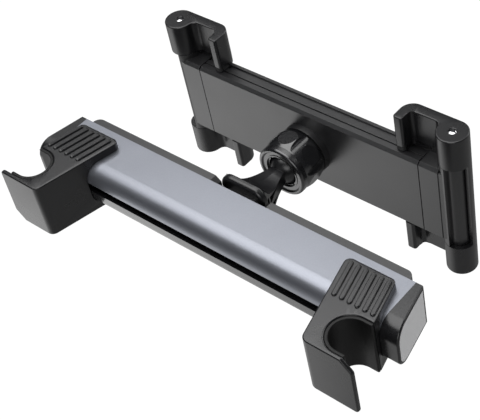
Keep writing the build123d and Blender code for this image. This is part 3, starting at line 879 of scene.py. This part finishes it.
@dataclass
class CoverScrews(StandIn):
    """The four screws in the holder's back, each with a cross recess in its head.

    Attributes:
        slot: their finish.
        node, body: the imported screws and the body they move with.
        across, up: how far the screws stand from the middle.
        slot_length, slot_width: size of one arm of the cross, over all.
        depth: depth of the recess.
    """

    slot: str = "steel"
    node: str = "cover_screws"
    body: str = "holder"
    across: float = 48.0
    up: float = 17.0
    slot_length: float = 2.6
    slot_width: float = 0.7
    depth: float = 0.8

    def cross(self) -> np.ndarray:
        """Outline of the cross about its middle: three corners of one arm, turned four times.

        Returns:
            Its twelve points.
        """
        far, near = self.slot_length / 2, self.slot_width / 2
        corners = [np.array(((far, -near), (far, near), (near, near)))]
        for _ in range(3):
            corners.append(corners[-1] @ np.array(((0, 1), (-1, 0))))
        return np.vstack(corners)

    def build(self) -> bpy.types.Object:
        """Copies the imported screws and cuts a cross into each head.

        Returns:
            The screws.
        """
        piece = MeshShop.merged_copy(self.node, "crosshead_screws")
        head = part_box(self.node)[1][1] / MM
        for across in (-self.across, self.across):
            for up in (-self.up, self.up):
                outline = self.cross() + np.array((across, up))
                tool = MeshShop.prism("cross", outline, head - self.depth, head + self.depth, upright=False)
                MeshShop.combine(piece, tool, Fit.CUT)
        MeshShop.smooth(piece)
        return self.settle(piece, self.node, self.body)


@dataclass
class LowerEdgePiece(StandIn):
    """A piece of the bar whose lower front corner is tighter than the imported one, or a hook round it.

    Attributes:
        node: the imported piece.
        slot: its finish.
        body: the body that it moves with.
        front: front face of the bar.
        half_height: half of the bar's height.
        packed_radius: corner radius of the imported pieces.
        radius: corner radius that is shown.
        margin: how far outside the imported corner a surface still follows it, as the hooks' insides do.
        sharp_degrees: edges sharper than this stay crisp.
    """

    node: str
    slot: str
    body: str
    front: float = 12.5
    half_height: float = 11.5
    packed_radius: float = 8.5
    radius: float = 5.5
    margin: float = 1.0
    sharp_degrees: float = 12.0

    def pushed_out(self, points: np.ndarray) -> np.ndarray:
        """Moves points near the corner outwards from the middle of its arc.

        Along each direction from the arc's middle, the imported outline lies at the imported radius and
        the new one where the ray meets the front face, the bottom face or the tighter arc between
        them. A point's distance from the middle grows by the ratio of the two.

        Args:
            points: rows of X, Y and Z in millimetres.

        Returns:
            The moved points.
        """
        along = self.front + self.packed_radius - points[:, 1]
        down = self.packed_radius - self.half_height - points[:, 2]
        reach = np.hypot(along, down)
        near = (along > 0) & (down > 0) & (reach < self.packed_radius + self.margin)
        ahead, below = along[near] / reach[near], down[near] / reach[near]
        most, least = np.maximum(ahead, below), np.minimum(ahead, below)
        step = self.packed_radius - self.radius
        both = step * (ahead + below)
        arc = both + np.sqrt(np.maximum(both**2 - 2 * step**2 + self.radius**2, 0.0))
        flat = self.packed_radius / most
        outline = np.where(least * flat < step, flat, arc)
        growth = np.zeros(len(points))
        growth[near] = outline / self.packed_radius - 1.0
        moved = points.copy()
        moved[:, 1] -= along * growth
        moved[:, 2] -= down * growth
        return moved

    def build(self) -> bpy.types.Object:
        """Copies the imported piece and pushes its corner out.

        Returns:
            The piece.
        """
        piece = MeshShop.merged_copy(self.node, f"{self.node}_shown")
        places = np.empty(len(piece.data.vertices) * 3)
        piece.data.vertices.foreach_get("co", places)
        moved = self.pushed_out(places.reshape(-1, 3) / MM) * MM
        piece.data.vertices.foreach_set("co", moved.ravel())
        piece.data.update()
        MeshShop.smooth(piece, self.sharp_degrees)
        return self.settle(piece, self.node, self.body)

    @classmethod
    def all_of_them(cls, maker: MaterialMaker) -> list["LowerEdgePiece"]:
        """The bar's bottom cover, its caps and end plates, and the two hooks.

        Args:
            maker: where their finishes come from.

        Returns:
            The pieces, not built yet.
        """
        hands = [side.word for side in Side]
        return [
            cls(maker, "bottom_cover", "black_gloss", "root"),
            *(cls(maker, f"{hand}_end_cap", "black_satin", "root") for hand in hands),
            *(cls(maker, f"{hand}_end_plate", "grey_gloss", "root") for hand in hands),
            *(cls(maker, f"{hand}_hook", "black_satin", f"{hand}_hook") for hand in hands),
        ]


@dataclass
class CarriedNodes:
    """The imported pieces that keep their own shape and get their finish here.

    Attributes:
        maker: where their finishes come from.
        polished: pieces that are glossier than their slot's finish.
        slots: finish of each piece.
    """

    maker: MaterialMaker
    polished: tuple[str, ...] = ("collar_nut", "ball_cup")
    slots: dict[str, str] = field(default_factory=dict)

    def __post_init__(self) -> None:
        """Reads each node's slot from the record."""
        self.slots = {row["node"]: row["material_slot"] for row in frame["record"]["subparts"]}
        self.slots.update({node: "polished_black" for node in self.polished})

    def dress(self) -> None:
        """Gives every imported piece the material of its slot."""
        for name, node in frame["nodes"].items():
            made = self.maker.material(self.slots[name])
            if node.data.materials:
                for index in range(len(node.data.materials)):
                    node.data.materials[index] = made
            else:
                node.data.materials.append(made)
            log.info("%s: finish %s", name, self.slots[name])


def main() -> None:
    """Builds the studio and dresses the mount, piece by piece."""
    Studio().build()
    maker = MaterialMaker(ShaderGroups())
    CarriedNodes(maker).dress()
    claws = [kind(maker, side) for side in Side for kind in (Claw, HingePin)]
    for part in (*claws, *LowerEdgePiece.all_of_them(maker), CoverScrews(maker)):
        part.make()


if __name__ == "__main__":
    main()
